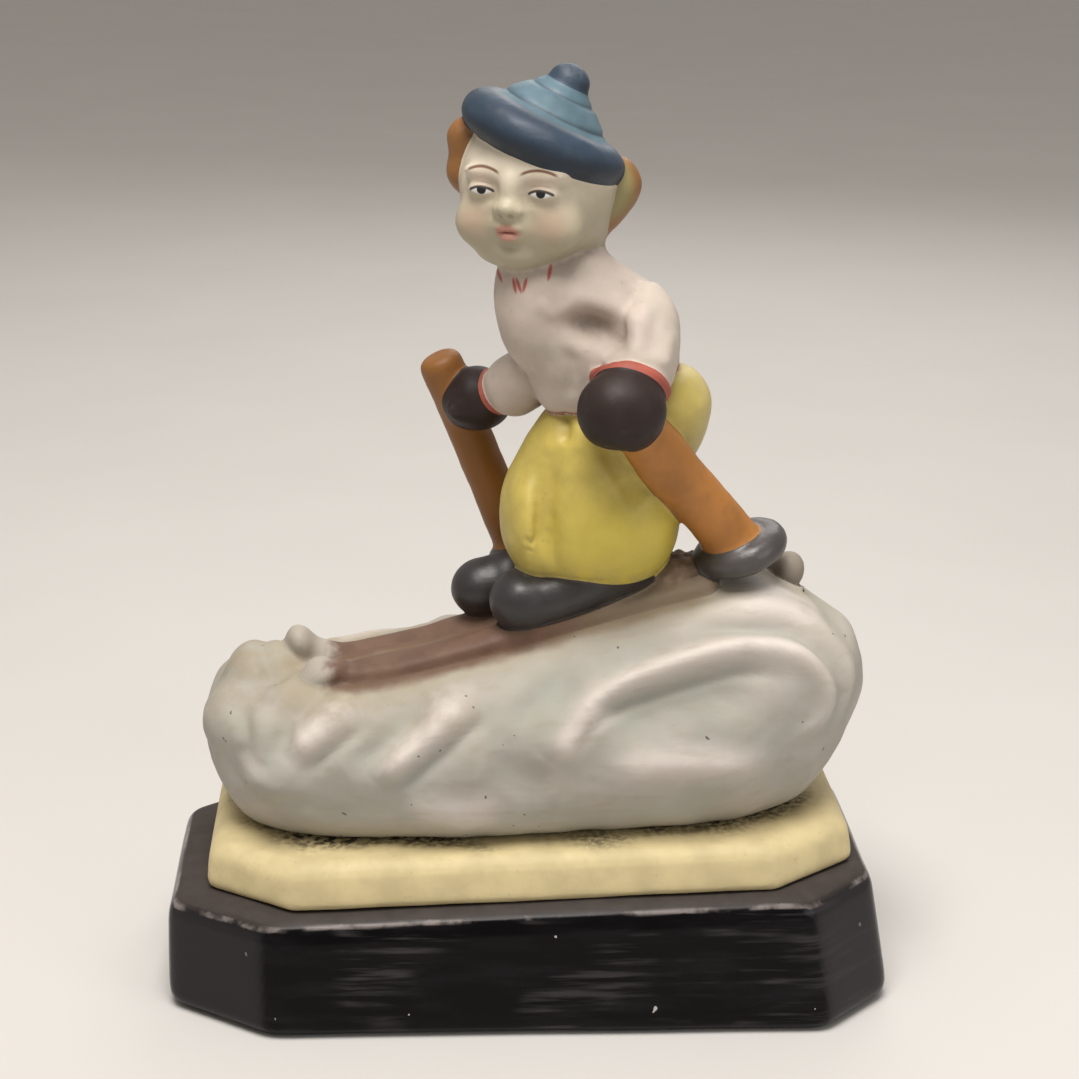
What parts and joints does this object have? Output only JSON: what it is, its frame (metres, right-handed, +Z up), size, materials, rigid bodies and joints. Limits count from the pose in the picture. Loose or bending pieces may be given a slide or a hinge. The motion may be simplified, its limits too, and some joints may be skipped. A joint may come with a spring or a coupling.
{
  "type": "ceramic skier figurine",
  "caption": "Hand-painted bisque ceramic figurine of a child skier in a knitted cap, leaning on two poles on a snow mound, with a cream slab and a black octagonal plinth.",
  "frame": {"origin": "centre of the rectangle round the plinth's foot, on the surface it stands on", "axes": "+Z up, +X towards the tails of the skis and +Y towards the figure's far side, which is the skier's right"},
  "size_m": [0.11, 0.06, 0.1399],
  "materials": {
    "black_glaze": "gloss",
    "cream_bisque": "satin",
    "snow_bisque": "satin",
    "ski_brown": "satin",
    "grit": "matte",
    "boot_charcoal": "satin",
    "trouser_yellow": "satin",
    "sweater_white": "satin",
    "cuff_red": "satin",
    "mitten_brown": "satin",
    "pole_orange": "satin",
    "basket_pewter": "satin",
    "skin_bisque": "satin",
    "hair_brown": "satin",
    "cap_dark_blue": "satin",
    "cap_light_blue": "satin"
  },
  "bodies": {
    "root": {"plinth": "black_glaze", "slab": "cream_bisque", "snow_mound": "snow_bisque", "near_ski": "ski_brown", "far_ski": "ski_brown", "grit_patch": "grit", "near_boot": "boot_charcoal", "far_boot": "boot_charcoal", "trousers": "trouser_yellow", "torso": "sweater_white", "near_sleeve": "sweater_white", "near_cuff": "cuff_red", "near_mitten": "mitten_brown", "near_pole": "pole_orange", "near_basket": "basket_pewter", "far_sleeve": "sweater_white", "far_cuff": "cuff_red", "far_mitten": "mitten_brown", "far_pole": "pole_orange", "far_basket": "basket_pewter", "head": "skin_bisque", "near_hair": "hair_brown", "far_hair": "hair_brown", "cap_brim": "cap_dark_blue", "cap_crown": "cap_light_blue", "cap_pompom": "cap_dark_blue"}
  },
  "joints": []
}
